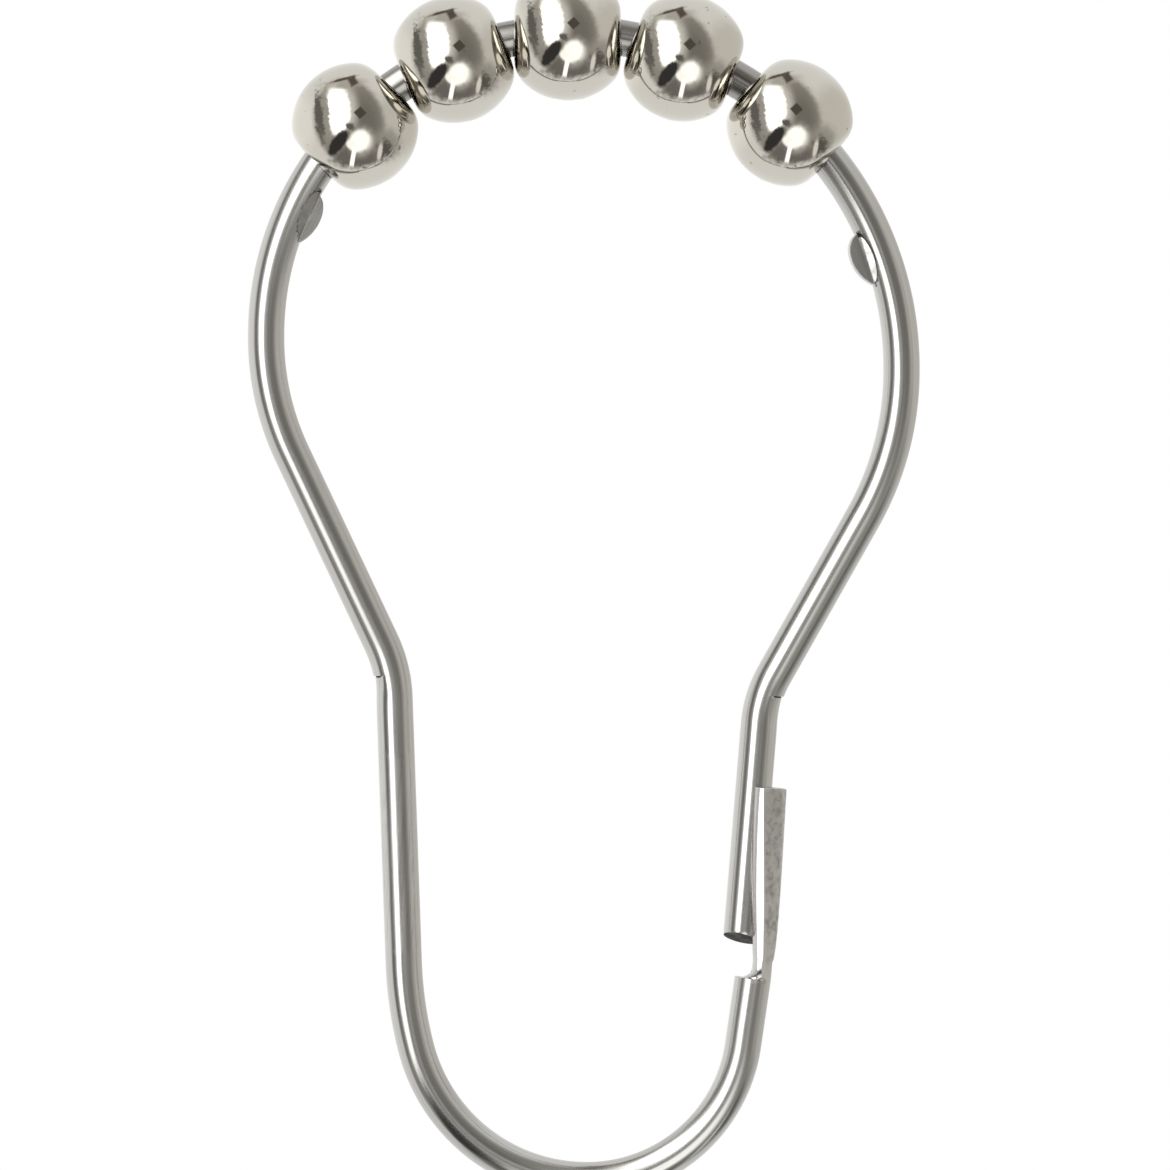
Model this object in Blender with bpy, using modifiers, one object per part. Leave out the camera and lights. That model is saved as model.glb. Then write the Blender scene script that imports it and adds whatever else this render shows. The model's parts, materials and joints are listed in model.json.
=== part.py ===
"""Shower curtain hook: a sprung wire loop with five roller balls and a clasp.

Metres, +Z up. The loop lies in the XZ plane and its front looks along -Y.
The origin is the underside of the middle ball, where the hook hangs on a rod.
"""

import bpy
import bmesh
from math import acos, asin, atan2, ceil, cos, hypot, pi, radians, sin, sqrt, tan
from mathutils import Matrix, Vector

# Wire and balls. RIM_RADIUS is the round by which a ball is drawn in to its holes
WIRE_DIAMETER = 0.0023
BALL_DIAMETER = 0.0080
BALL_WALL = 0.0003
BALL_HOLE_DIAMETER = 0.00306
RIM_RADIUS = 0.00185
BALL_GAP = 0.00005
BALL_DROP = 0.00022

# How far each ball sits from touching the one before, from the middle outwards
LEFT_SLACKS = (0.0, 0.00018)
RIGHT_SLACKS = (0.00015, 0.00057)

# Loop, all on the wire's centreline. The left and right halves differ a little,
# as a hand-closed hook's do.
LEFT_HALF_WIDTH = 0.01896
RIGHT_HALF_WIDTH = 0.02101
SIDE_RUN = 0.0002
LEFT_SHOULDER_RADIUS = 0.0170
RIGHT_SHOULDER_RADIUS = 0.0189
LEFT_FLANK_LEAN = radians(25.3)
RIGHT_FLANK_LEAN = radians(29.5)
LEFT_WAIST = 0.01095
RIGHT_WAIST = 0.01218
LEFT_WAIST_RADIUS = 0.0089
RIGHT_WAIST_RADIUS = 0.0075
FREE_LEG_LEAN = radians(4.7)
LEG_ABOVE_CATCH = 0.00392
RISER_DROP = 0.01268
RISER_LEAN = radians(9.3)
BOTTOM_MIDDLE = 0.0013
BOTTOM_FLAT = 0.0001
BOTTOM_LEFT_RADIUS = 0.01107
BOTTOM_RIGHT_RADIUS = 0.0099
LEAD_HEIGHT = 0.01097
LEAD_LEAN = radians(14.5)
LEAD_RADIUS = 0.0250

# Catch: the wire's lower end, pressed into a half-round gutter for the free end
CATCH_CLEARANCE = 0.0001
CATCH_WALL = 0.00082
CATCH_OVERLAP = 0.00997
CATCH_EDGE = 0.00012
CATCH_BOW = 0.00016
FACET_DEPTH = 0.00013
FACET_LEAN_LOW = radians(27)
FACET_LEAN_TOP = radians(53)
SETBACK_FALL = 1.6
FREE_END_GAP = 0.0021
SHOULDER_FILLET = 0.0011
NECK_THICKNESS = 0.00122
NECK_SPREAD = 0.80
GROOVE_RUN_OUT = 0.0011
FREE_END_SLANT = radians(16)

# Stop ears pinched out of the wire under the last ball on each side: a flat fin that
# the metal flowed into, highest near the balls, and the punch's recess beside it
EAR_LENGTH = 0.0037
LEFT_EAR_PROUD = 0.00070
RIGHT_EAR_PROUD = 0.00086
EAR_THICKNESS = 0.0009
EAR_EDGE = 0.00016
EAR_FACE = 0.00045
EAR_SKEW = 0.30
RECESS_LENGTH = 0.0029
RECESS_WIDTH = 0.00062
RECESS_LEAN = radians(18)
LEFT_CREASE_INWARD = 0.00108
RIGHT_CREASE_INWARD = 0.00068
LEFT_PLAY = 0.0018
RIGHT_PLAY = 0.0052

# Marks of the bending tool across the hollow side of each waist bend
NICK_RADIUS = 0.0002
NICK_DEPTH = 0.00012
NICK_LEAN = radians(45)
LEFT_NICK_RISE = 0.0001
RIGHT_NICK_RISE = 0.0006

# Fineness
WIRE_SIDES = 24
BALL_SIDES = 24
BEND_STEP = radians(6)
SHORTEST_STEP = 0.00005
MERGE_REACH = 0.000001
BALL_ARC_STEPS = 5
RIM_STEPS = 4
CATCH_STEPS = 9
FILLET_STEPS = 5
GROOVE_STEPS = 4
PLATE_SIDES = 24
PIN_SIDES = 12
SHARP_ANGLE = radians(35)

WIRE_RADIUS = WIRE_DIAMETER / 2
BALL_RADIUS = BALL_DIAMETER / 2
HOLE_RADIUS = BALL_HOLE_DIAMETER / 2
TOP = BALL_RADIUS + BALL_DROP

# The drawn-in rim of a ball, seen in section: a round of radius RIM_RADIUS that leaves
# the sphere at RIM_LEAN from the bore and ends square to it, at the edge of the hole.
# Its centre is the hole's radius from the bore's axis and RIM_UP from the ball's middle.
RIM_UP = sqrt((BALL_RADIUS - RIM_RADIUS) ** 2 - HOLE_RADIUS ** 2)
RIM_LEAN = atan2(HOLE_RADIUS, RIM_UP)
BALL_HALF_LENGTH = RIM_UP + RIM_RADIUS

CATCH_INNER = WIRE_RADIUS + CATCH_CLEARANCE
CATCH_OUTER = CATCH_INNER + CATCH_WALL
CATCH_LENGTH = FREE_END_GAP + CATCH_OVERLAP


def clear_objects():
    """Remove what the open file holds, so that the model stands alone."""
    for item in list(bpy.data.objects):
        bpy.data.objects.remove(item, do_unlink=True)


def new_collection(name):
    collection = bpy.data.collections.new(name)
    bpy.context.scene.collection.children.link(collection)
    return collection


def metal(name, colour, roughness):
    material = bpy.data.materials.new(name)
    material.use_nodes = True
    shader = material.node_tree.nodes["Principled BSDF"]
    shader.inputs["Base Color"].default_value = (*colour, 1.0)
    shader.inputs["Metallic"].default_value = 1.0
    shader.inputs["Roughness"].default_value = roughness
    return material


def add_object(name, data, collection):
    item = bpy.data.objects.new(name, data)
    collection.objects.link(item)
    return item


def along(lean):
    """A way in the loop's plane, lean radians from straight up towards +X."""
    return Vector((sin(lean), cos(lean)))


def in_space(point, depth=0.0):
    """A point (x, z) of the loop's plane, or depth behind it, in the model."""
    return Vector((point.x, depth, point.y))


def rounded_path(corners, radii):
    """Follow straight runs between corners, each inner corner rounded by its radius.

    Where two rounds need more than the run between them, both give way.
    """
    ways = [(b - a).normalized() for a, b in zip(corners, corners[1:])]
    spans = [(b - a).length for a, b in zip(corners, corners[1:])]
    turns = [atan2(a.x * b.y - a.y * b.x, a.dot(b)) for a, b in zip(ways, ways[1:])]
    cuts = [radius * tan(abs(turn) / 2) for radius, turn in zip(radii, turns)]
    fits = [1.0] * len(cuts)
    ends = [0.0, *cuts, 0.0]
    for index, span in enumerate(spans):
        wanted = ends[index] + ends[index + 1]
        share = min(1.0, span / wanted)
        if index > 0:
            fits[index - 1] = min(fits[index - 1], share)
        if index < len(cuts):
            fits[index] = min(fits[index], share)
    points = [corners[0].copy()]
    for corner, way, turn, cut, fit in zip(corners[1:], ways, turns, cuts, fits):
        start = corner - way * cut * fit
        side = 1.0 if turn > 0 else -1.0
        radius = cut * fit / tan(abs(turn) / 2)
        centre = start + Vector((-way.y, way.x)) * side * radius
        steps = max(2, ceil(abs(turn) / BEND_STEP))
        for step in range(steps + 1):
            spoke = Matrix.Rotation(turn * step / steps, 2) @ (start - centre)
            point = centre + spoke
            if (point - points[-1]).length > SHORTEST_STEP:
                points.append(point)
    points.append(corners[-1].copy())
    return points


class Loop:
    """The corners of the loop's centreline, from the named sizes."""

    def __init__(self):
        self.left_centre = Vector((0.0, TOP - LEFT_HALF_WIDTH))
        self.right_centre = Vector((0.0, TOP - RIGHT_HALF_WIDTH))
        left_shoulder = self.shoulder(-1, LEFT_HALF_WIDTH, LEFT_SHOULDER_RADIUS, LEFT_FLANK_LEAN)
        right_shoulder = self.shoulder(1, RIGHT_HALF_WIDTH, RIGHT_SHOULDER_RADIUS, RIGHT_FLANK_LEAN)
        self.left_waist = self.waist(left_shoulder, -LEFT_WAIST, LEFT_FLANK_LEAN)
        self.right_waist = self.waist(right_shoulder, RIGHT_WAIST, RIGHT_FLANK_LEAN)

        self.up = along(FREE_LEG_LEAN)
        self.out = Vector((self.up.y, -self.up.x))
        waist_cut = RIGHT_WAIST_RADIUS * tan((RIGHT_FLANK_LEAN - FREE_LEG_LEAN) / 2)
        leg_length = waist_cut + LEG_ABOVE_CATCH + CATCH_OVERLAP
        self.free_end = self.right_waist - self.up * leg_length
        self.neck = self.free_end - self.up * FREE_END_GAP
        riser_top = self.neck + self.out * (CATCH_OUTER - WIRE_RADIUS)

        bottom = riser_top.y - RISER_DROP
        left_cut = BOTTOM_LEFT_RADIUS * tan((pi / 2 - LEAD_LEAN) / 2)
        right_cut = BOTTOM_RIGHT_RADIUS * tan((pi / 2 - RISER_LEAN) / 2)
        bottom_left = Vector((BOTTOM_MIDDLE - BOTTOM_FLAT - left_cut, bottom))
        bottom_right = Vector((BOTTOM_MIDDLE + BOTTOM_FLAT + right_cut, bottom))
        lead = bottom_left + Vector((-LEAD_HEIGHT * tan(LEAD_LEAN), LEAD_HEIGHT))

        self.corners = [
            riser_top, bottom_right, bottom_left, lead, self.left_waist, left_shoulder,
            Vector((-LEFT_HALF_WIDTH, TOP)), Vector((RIGHT_HALF_WIDTH, TOP)),
            right_shoulder, self.right_waist, self.free_end,
        ]
        self.radii = [
            BOTTOM_RIGHT_RADIUS, BOTTOM_LEFT_RADIUS, LEAD_RADIUS, LEFT_WAIST_RADIUS,
            LEFT_SHOULDER_RADIUS, LEFT_HALF_WIDTH, RIGHT_HALF_WIDTH,
            RIGHT_SHOULDER_RADIUS, RIGHT_WAIST_RADIUS,
        ]

    def shoulder(self, side, half_width, radius, lean):
        """Where a side leaves the upright, a short run under the end of the top arc."""
        drop = half_width + SIDE_RUN + radius * tan(lean / 2)
        return Vector((side * half_width, TOP - drop))

    def waist(self, shoulder, waist_x, lean):
        """Where the flank from a shoulder reaches its waist's distance from the middle."""
        drop = abs(shoulder.x - waist_x) / tan(lean)
        return Vector((waist_x, shoulder.y - drop))

    def on_top_arc(self, side, angle, inset=0.0):
        """A point on the top arc, angle radians round from its highest point."""
        centre = self.left_centre if side < 0 else self.right_centre
        radius = (LEFT_HALF_WIDTH if side < 0 else RIGHT_HALF_WIDTH) - inset
        return centre + along(side * angle) * radius


def wire_tube(points):
    """The round wire along the loop, as one closed mesh in bmesh form."""
    curve = bpy.data.curves.new("loop_line", "CURVE")
    curve.dimensions = "3D"
    curve.bevel_depth = WIRE_RADIUS
    curve.bevel_resolution = WIRE_SIDES // 2 - 2
    curve.use_fill_caps = True
    spline = curve.splines.new("POLY")
    spline.points.add(len(points) - 1)
    for slot, point in zip(spline.points, points):
        slot.co = (*in_space(point), 1.0)
    line = add_object("loop_line", curve, bpy.context.scene.collection)
    bpy.context.view_layer.update()
    shape = line.evaluated_get(bpy.context.evaluated_depsgraph_get())
    mesh = bpy.data.meshes.new_from_object(shape)
    tube = bmesh.new()
    tube.from_mesh(mesh)
    bmesh.ops.remove_doubles(tube, verts=tube.verts, dist=MERGE_REACH)
    bpy.data.objects.remove(line, do_unlink=True)
    bpy.data.curves.remove(curve)
    bpy.data.meshes.remove(mesh)
    return tube


def slant_free_end(tube, loop):
    """Shear the free end a little off square, so that its face looks forward."""
    reach = WIRE_RADIUS * tan(FREE_END_SLANT)
    point = in_space(loop.free_end + loop.up * reach)
    down = in_space(-loop.up)
    normal = Matrix.Rotation(-FREE_END_SLANT, 3, in_space(loop.out)) @ down
    end = in_space(loop.free_end)
    tip = [vert for vert in tube.verts if (vert.co - end).length < WIRE_RADIUS + MERGE_REACH]
    near = list({face for vert in tip for face in vert.link_faces})
    edges = {edge for face in near for edge in face.edges}
    verts = {vert for face in near for vert in face.verts}
    parts = list(verts) + list(edges) + near
    cut = bmesh.ops.bisect_plane(
        tube, geom=parts, plane_co=point, plane_no=normal, clear_outer=True)
    rim = [item for item in cut["geom_cut"] if isinstance(item, bmesh.types.BMEdge)]
    bmesh.ops.contextual_create(tube, geom=rim)


def smooth(value):
    """An S-shaped rise from 0 to 1."""
    value = min(1.0, max(0.0, value))
    return value * value * (3 - 2 * value)


def press_facet(out, across, reach):
    """Flatten the gutter's outside where the pressing tool bore on it.

    The facet turns from the side towards the front as reach goes from the neck to the top.
    """
    lean = FACET_LEAN_LOW + (FACET_LEAN_TOP - FACET_LEAN_LOW) * reach
    beyond = max(0.0, out * cos(lean) + across * sin(lean) - (CATCH_OUTER - FACET_DEPTH))
    return out - beyond * cos(lean), across - beyond * sin(lean)


def gutter_point(angle, height):
    """A point of the gutter's section, out of the free leg's line and across it.

    The angle runs once round the section from its outer side. The outside takes the
    first and last sixth of it, each lip a third, and the groove the rest.
    """
    reach = min(1.0, max(0.0, (height - SHOULDER_FILLET) / (CATCH_LENGTH - SHOULDER_FILLET)))
    setback = (CATCH_OUTER - NECK_THICKNESS) * (1 - reach) ** SETBACK_FALL
    edge = CATCH_EDGE * max(0.0, 1 - (CATCH_LENGTH - height) / CATCH_EDGE)
    half_wall = CATCH_WALL / 2 - edge
    middle = CATCH_INNER + CATCH_WALL / 2
    wrap = acos(min(1.0, (setback + CATCH_WALL / 2) / middle))
    turn = abs(angle)
    if turn <= pi / 3:
        spoke = turn / (pi / 3) * wrap
        out, across = press_facet(
            (middle + half_wall) * cos(spoke), (middle + half_wall) * sin(spoke), reach)
        out += CATCH_BOW * sin(pi * sqrt(reach)) * cos(spoke)
    elif turn < 2 * pi / 3:
        roll = (turn - pi / 3) * 3
        radial = middle + half_wall * cos(roll)
        out = radial * cos(wrap) - half_wall * sin(roll) * sin(wrap)
        across = radial * sin(wrap) + half_wall * sin(roll) * cos(wrap)
    else:
        spoke = (pi - turn) / (pi / 3) * wrap
        inner = middle - half_wall
        groove = smooth((height - SHOULDER_FILLET) / GROOVE_RUN_OUT)
        out = inner * (cos(wrap) + (cos(spoke) - cos(wrap)) * groove)
        across = inner * sin(spoke)
    spread = NECK_SPREAD + (1 - NECK_SPREAD) * smooth(height / (FREE_END_GAP + GROOVE_RUN_OUT))
    return out, across * spread * (1 if angle > 0 else -1)


def catch_stations():
    """Heights of the gutter's sections over the shoulder, each with its share of gutter.

    They crowd together in the shoulder's hollow fillet and at the sheared top edge.
    """
    stations = []
    for step in range(1, FILLET_STEPS + 1):
        sweep = step / FILLET_STEPS * pi / 2
        stations.append((SHOULDER_FILLET * (1 - cos(sweep)), sin(sweep)))
    for step in range(1, GROOVE_STEPS + 1):
        stations.append((SHOULDER_FILLET + GROOVE_RUN_OUT * step / GROOVE_STEPS, 1.0))
    start = SHOULDER_FILLET + GROOVE_RUN_OUT
    run = CATCH_LENGTH - CATCH_EDGE - start
    for step in range(1, CATCH_STEPS + 1):
        stations.append((start + run * step / CATCH_STEPS, 1.0))
    stations.append((CATCH_LENGTH, 1.0))
    return stations


def add_catch(tube, loop):
    """Loft the gutter on from the wire's lower end, ring by ring."""
    centre = in_space(loop.corners[0])
    up, out, across = in_space(loop.up), in_space(loop.out), Vector((0, 1, 0))
    rim = [vert for vert in tube.verts if (vert.co - centre).length < WIRE_RADIUS + MERGE_REACH]
    cap = [face for face in tube.faces if all(vert in rim for vert in face.verts)]
    bmesh.ops.delete(tube, geom=cap, context="FACES")

    def angle_of(vert):
        spoke = vert.co - centre
        return atan2(spoke.dot(across), spoke.dot(out))

    ring = sorted(rim, key=angle_of)
    angles = [angle_of(vert) for vert in ring]
    neck = in_space(loop.neck)
    offset = CATCH_OUTER - WIRE_RADIUS
    for height, share in catch_stations():
        upper = []
        for angle in angles:
            flat = gutter_point(angle, height)
            round_out = offset + WIRE_RADIUS * cos(angle)
            round_across = WIRE_RADIUS * sin(angle)
            x = round_out + (flat[0] - round_out) * share
            y = round_across + (flat[1] - round_across) * share
            upper.append(tube.verts.new(neck + out * x + across * y + up * height))
        for index, vert in enumerate(ring):
            after = (index + 1) % len(ring)
            tube.faces.new((vert, ring[after], upper[after], upper[index]))
        ring = upper
    tube.faces.new(ring)


def ear_place(loop, side):
    """The frame of an ear: origin on the wire's centreline, X along it, Z inwards."""
    angle = ball_angles(side)[-1]
    radius = LEFT_HALF_WIDTH if side < 0 else RIGHT_HALF_WIDTH
    play = LEFT_PLAY if side < 0 else RIGHT_PLAY
    angle += (BALL_HALF_LENGTH + play + EAR_LENGTH / 2) / radius
    inward = in_space(-along(side * angle))
    backward = Vector((0, 1, 0))
    turn = Matrix((backward.cross(inward), backward, inward)).transposed()
    return Matrix.Translation(in_space(loop.on_top_arc(side, angle))) @ turn.to_4x4()


def plate(name, collection, place, half_length, half_height, thickness, sides):
    """A flat oval plate, thick along Y, at a place."""
    mesh = bpy.data.meshes.new(name)
    shape = bmesh.new()
    bmesh.ops.create_cone(
        shape, cap_ends=True, segments=sides, radius1=1.0, radius2=1.0, depth=thickness)
    bmesh.ops.rotate(shape, verts=shape.verts, matrix=Matrix.Rotation(pi / 2, 3, "X"))
    bmesh.ops.scale(shape, verts=shape.verts, vec=(half_length, 1.0, half_height))
    shape.to_mesh(mesh)
    shape.free()
    item = add_object(name, mesh, collection)
    item.matrix_world = place
    return item


def hide(item):
    item.display_type = "WIRE"
    item.hide_render = True


def boolean(target, tool, operation):
    step = target.modifiers.new(operation.lower() + "_" + tool.name, "BOOLEAN")
    step.operation = operation
    step.object = tool
    step.solver = "EXACT"


def add_ear(wire, place, cutters, side, word, proud, crease_inward):
    """Punch a recess into the front of the wire, and let a fin out inwards beside it."""
    crease = Matrix.Translation((0, -EAR_FACE, crease_inward))
    lean = Matrix.Rotation(-RECESS_LEAN, 4, "X")
    forward = Matrix.Translation((0, -WIRE_RADIUS, 0))
    punch = plate(
        word + "_ear_punch", cutters, place @ crease @ lean @ forward, RECESS_LENGTH / 2,
        RECESS_WIDTH, WIRE_DIAMETER, PLATE_SIDES)
    boolean(wire, punch, "DIFFERENCE")
    hide(punch)

    seat = Matrix.Translation((0, EAR_THICKNESS / 2 - EAR_FACE, WIRE_RADIUS / 2))
    fin = plate(
        word + "_ear_fin", cutters, place @ seat, EAR_LENGTH / 2,
        WIRE_RADIUS / 2 + proud, EAR_THICKNESS, PLATE_SIDES)
    skew = Matrix.Identity(4)
    skew[0][2] = EAR_SKEW * side
    fin.data.transform(skew)
    soften = fin.modifiers.new("rounded_edge", "BEVEL")
    soften.width = EAR_EDGE
    soften.segments = 2
    soften.limit_method = "ANGLE"
    boolean(wire, fin, "UNION")
    hide(fin)


def add_nick(wire, loop, cutters, word, index, radius, rise):
    """Press the bending tool's mark across the front of a waist bend's hollow side."""
    before, corner, after = loop.corners[index - 1:index + 2]
    back = (before - corner).normalized()
    ahead = (after - corner).normalized()
    hollow = (back + ahead).normalized()
    upward = (back - ahead).normalized() * (1 if before.y > after.y else -1)
    half_turn = asin(min(1.0, abs(back.cross(hollow))))
    sag = radius / sin(half_turn) - radius
    middle = in_space(corner + hollow * sag + upward * rise)
    side = in_space(hollow) * cos(NICK_LEAN) + Vector((0, -1, 0)) * sin(NICK_LEAN)
    axis = side.cross(in_space(upward))
    turn = Matrix((in_space(upward), axis, side)).transposed().to_4x4()
    reach = WIRE_RADIUS + NICK_RADIUS - NICK_DEPTH
    pin = plate(
        word + "_waist_nick", cutters, Matrix.Translation(middle + side * reach) @ turn,
        NICK_RADIUS, NICK_RADIUS, WIRE_DIAMETER, PIN_SIDES)
    boolean(wire, pin, "DIFFERENCE")
    hide(pin)


def make_wire(loop, parts, cutters, finish):
    tube = wire_tube(rounded_path(loop.corners, loop.radii))
    slant_free_end(tube, loop)
    add_catch(tube, loop)
    bmesh.ops.recalc_face_normals(tube, faces=tube.faces)
    mesh = bpy.data.meshes.new("hook_wire")
    tube.to_mesh(mesh)
    tube.free()
    mesh.materials.append(finish)
    mesh.shade_smooth()
    mesh.set_sharp_from_angle(angle=SHARP_ANGLE)
    wire = add_object("hook_wire", mesh, parts)
    left, right = ear_place(loop, -1), ear_place(loop, 1)
    add_ear(wire, left, cutters, -1, "left", LEFT_EAR_PROUD, LEFT_CREASE_INWARD)
    add_ear(wire, right, cutters, 1, "right", RIGHT_EAR_PROUD, RIGHT_CREASE_INWARD)
    add_nick(wire, loop, cutters, "left", 4, LEFT_WAIST_RADIUS, LEFT_NICK_RISE)
    add_nick(wire, loop, cutters, "right", 9, RIGHT_WAIST_RADIUS, RIGHT_NICK_RISE)


def ball_angles(side):
    """Angles of the balls on one side, from the middle one out, each with its slack.

    Two neighbours touch where the inner sides of their rims meet.
    """
    radius = (LEFT_HALF_WIDTH if side < 0 else RIGHT_HALF_WIDTH) - BALL_DROP
    reach = radius - HOLE_RADIUS
    half_step = asin((RIM_RADIUS + BALL_GAP / 2) / hypot(reach, RIM_UP)) + atan2(RIM_UP, reach)
    angles = []
    angle = 0.0
    for slack in LEFT_SLACKS if side < 0 else RIGHT_SLACKS:
        angle += 2 * half_step + slack / radius
        angles.append(angle)
    return angles


def arc(centre, radius, start, end, steps):
    """Points round a centre, from one angle to another, measured from the bore's axis."""
    turns = [start + (end - start) * step / steps for step in range(steps + 1)]
    return [(centre[0] + radius * sin(turn), centre[1] + radius * cos(turn)) for turn in turns]


def ball_profile():
    """The section of a ball's sheet, with the drawn-in rim and the cut edge of each hole."""
    rim = (HOLE_RADIUS, RIM_UP)
    outside = arc((0, 0), BALL_RADIUS, pi / 2, RIM_LEAN, BALL_ARC_STEPS)
    outside += arc(rim, RIM_RADIUS, RIM_LEAN, 0, RIM_STEPS)[1:]
    inside = arc((0, 0), BALL_RADIUS - BALL_WALL, pi / 2, RIM_LEAN, BALL_ARC_STEPS // 2)
    inside += arc(rim, RIM_RADIUS - BALL_WALL, RIM_LEAN, 0, RIM_STEPS // 2)[1:]
    below = [(x, -z) for x, z in outside[1:]]
    back = [(x, -z) for x, z in reversed(inside[1:])]
    return outside[::-1] + below + back + inside


def ball_mesh(finish):
    mesh = bpy.data.meshes.new("roller_ball")
    outline = [Vector((x, 0, z)) for x, z in ball_profile()]
    edges = [(index, (index + 1) % len(outline)) for index in range(len(outline))]
    mesh.from_pydata(outline, edges, [])
    mesh.materials.append(finish)
    return mesh


def make_balls(loop, parts, finish):
    """Thread the balls on the top arc, each with its bore's axis along the wire there."""
    mesh = ball_mesh(finish)
    places = [(-1, angle) for angle in reversed(ball_angles(-1))]
    places.append((1, 0.0))
    places += [(1, angle) for angle in ball_angles(1)]
    for number, (side, angle) in enumerate(places, start=1):
        ball = add_object("roller_ball_%d" % number, mesh, parts)
        ball.location = in_space(loop.on_top_arc(side, angle, BALL_DROP))
        ball.rotation_euler = (0, pi / 2 + side * angle, 0)
        turn = ball.modifiers.new("turned_round", "SCREW")
        turn.axis = "Z"
        turn.angle = 2 * pi
        turn.steps = BALL_SIDES
        turn.render_steps = BALL_SIDES
        turn.use_merge_vertices = True
        turn.merge_threshold = MERGE_REACH
        turn.use_smooth_shade = True


def main():
    clear_objects()
    parts = new_collection("shower_curtain_hook")
    cutters = new_collection("cutters")
    steel = metal("drawn_spring_steel", (0.62, 0.61, 0.58), 0.28)
    nickel = metal("bright_nickel", (0.74, 0.71, 0.66), 0.06)
    loop = Loop()
    make_wire(loop, parts, cutters, steel)
    make_balls(loop, parts, nickel)


main()
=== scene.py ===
# %% [markdown]
# # A shower curtain hook in drawn steel and bright nickel
# The hook is one sprung wire, bent into a pear-shaped loop, with five hollow balls that
# roll on the curtain rod. Its lower end is pressed into a gutter, the catch, which holds
# the wire's free end. The frame that is loaded here holds the solids, and this file
# gives each of them its fine surface, its finish and its light.

# %% Load the frame
import json
from math import asin, atan2, ceil, cos, hypot, pi, radians, sin, sqrt, tan

import bmesh
import bpy
from mathutils import Matrix, Vector, kdtree


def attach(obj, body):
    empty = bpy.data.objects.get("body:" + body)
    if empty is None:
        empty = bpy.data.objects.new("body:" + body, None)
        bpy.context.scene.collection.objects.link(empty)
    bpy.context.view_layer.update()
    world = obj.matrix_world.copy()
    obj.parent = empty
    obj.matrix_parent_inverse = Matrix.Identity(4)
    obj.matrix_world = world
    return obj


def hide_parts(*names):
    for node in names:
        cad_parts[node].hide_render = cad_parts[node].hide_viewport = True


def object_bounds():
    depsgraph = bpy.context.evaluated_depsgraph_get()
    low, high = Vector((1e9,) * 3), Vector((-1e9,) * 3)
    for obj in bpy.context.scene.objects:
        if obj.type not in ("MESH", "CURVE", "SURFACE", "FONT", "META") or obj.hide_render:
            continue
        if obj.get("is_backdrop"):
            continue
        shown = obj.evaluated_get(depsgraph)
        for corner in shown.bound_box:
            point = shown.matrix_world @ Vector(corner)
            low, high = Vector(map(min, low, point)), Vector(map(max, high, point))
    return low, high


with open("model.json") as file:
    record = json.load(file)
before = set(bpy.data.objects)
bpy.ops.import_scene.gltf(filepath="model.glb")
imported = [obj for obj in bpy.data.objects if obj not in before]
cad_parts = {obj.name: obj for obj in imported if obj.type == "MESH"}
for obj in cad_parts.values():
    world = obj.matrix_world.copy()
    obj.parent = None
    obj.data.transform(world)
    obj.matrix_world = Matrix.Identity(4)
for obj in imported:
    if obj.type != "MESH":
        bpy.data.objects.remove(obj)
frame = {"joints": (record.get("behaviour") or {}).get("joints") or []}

bpy.context.view_layer.update()
solid_box = [list(corner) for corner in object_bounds()]
print("solids reach from", solid_box[0], "to", solid_box[1])

# %% [markdown]
# ## How the pieces are made
# Everything starts as a primitive that is shaped in edit mode, as by hand. Each operator
# works on what is selected, so the helpers below clear the selection, start one piece,
# and leave edit mode again. All sizes are written in millimetres and turned into metres.

# %% Helpers for every piece
MM = 0.001
# Points nearer than this count as one.
CLOSE = 0.001 * MM


def start(add, **settings):
    """Add a primitive, alone in the selection, and open it in edit mode."""
    bpy.ops.object.select_all(action="DESELECT")
    add(**settings)
    piece = bpy.context.object
    bpy.ops.object.mode_set(mode="EDIT")
    return piece


def select_verts(piece, wanted):
    """In edit mode, select just the points for which wanted(place) is true."""
    bpy.ops.mesh.select_all(action="DESELECT")
    shape = bmesh.from_edit_mesh(piece.data)
    for vert in shape.verts:
        vert.select_set(bool(wanted(vert.co)))
    shape.select_flush(True)
    bmesh.update_edit_mesh(piece.data)


def alone(piece):
    """In object mode, make one piece the only one selected, and the active one."""
    bpy.ops.object.select_all(action="DESELECT")
    piece.select_set(True)
    bpy.context.view_layer.objects.active = piece


def apply_modifier(piece, kind, **settings):
    """Add a modifier with these settings and apply it."""
    alone(piece)
    step = piece.modifiers.new(kind.lower(), kind)
    for key, value in settings.items():
        setattr(step, key, value)
    bpy.ops.object.modifier_apply(modifier=step.name)


# %% [markdown]
# ## The line of the wire
# A hand-closed hook is never quite even, so the left and the right half have their own
# sizes. The line is a list of corners, and every inner corner is rounded by a radius, as
# if the wire were bent round a pin there.

# %% Sizes of the loop, all on the wire's centreline
WIRE_RADIUS = 1.149 * MM
TOP = 4.22 * MM
LEFT_HALF_WIDTH = 18.96 * MM
RIGHT_HALF_WIDTH = 21.01 * MM
SIDE_RUN = 0.2 * MM
LEFT_SHOULDER_RADIUS = 17.0 * MM
RIGHT_SHOULDER_RADIUS = 18.9 * MM
LEFT_FLANK_LEAN = radians(25.3)
RIGHT_FLANK_LEAN = radians(29.5)
LEFT_WAIST = 10.95 * MM
RIGHT_WAIST = 12.18 * MM
LEFT_WAIST_RADIUS = 8.9 * MM
RIGHT_WAIST_RADIUS = 7.5 * MM
FREE_LEG_LEAN = radians(4.7)
LEG_ABOVE_CATCH = 3.92 * MM
RISER_DROP = 12.68 * MM
RISER_LEAN = radians(9.3)
BOTTOM_MIDDLE = 1.3 * MM
BOTTOM_FLAT = 0.1 * MM
BOTTOM_LEFT_RADIUS = 11.07 * MM
BOTTOM_RIGHT_RADIUS = 9.9 * MM
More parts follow.
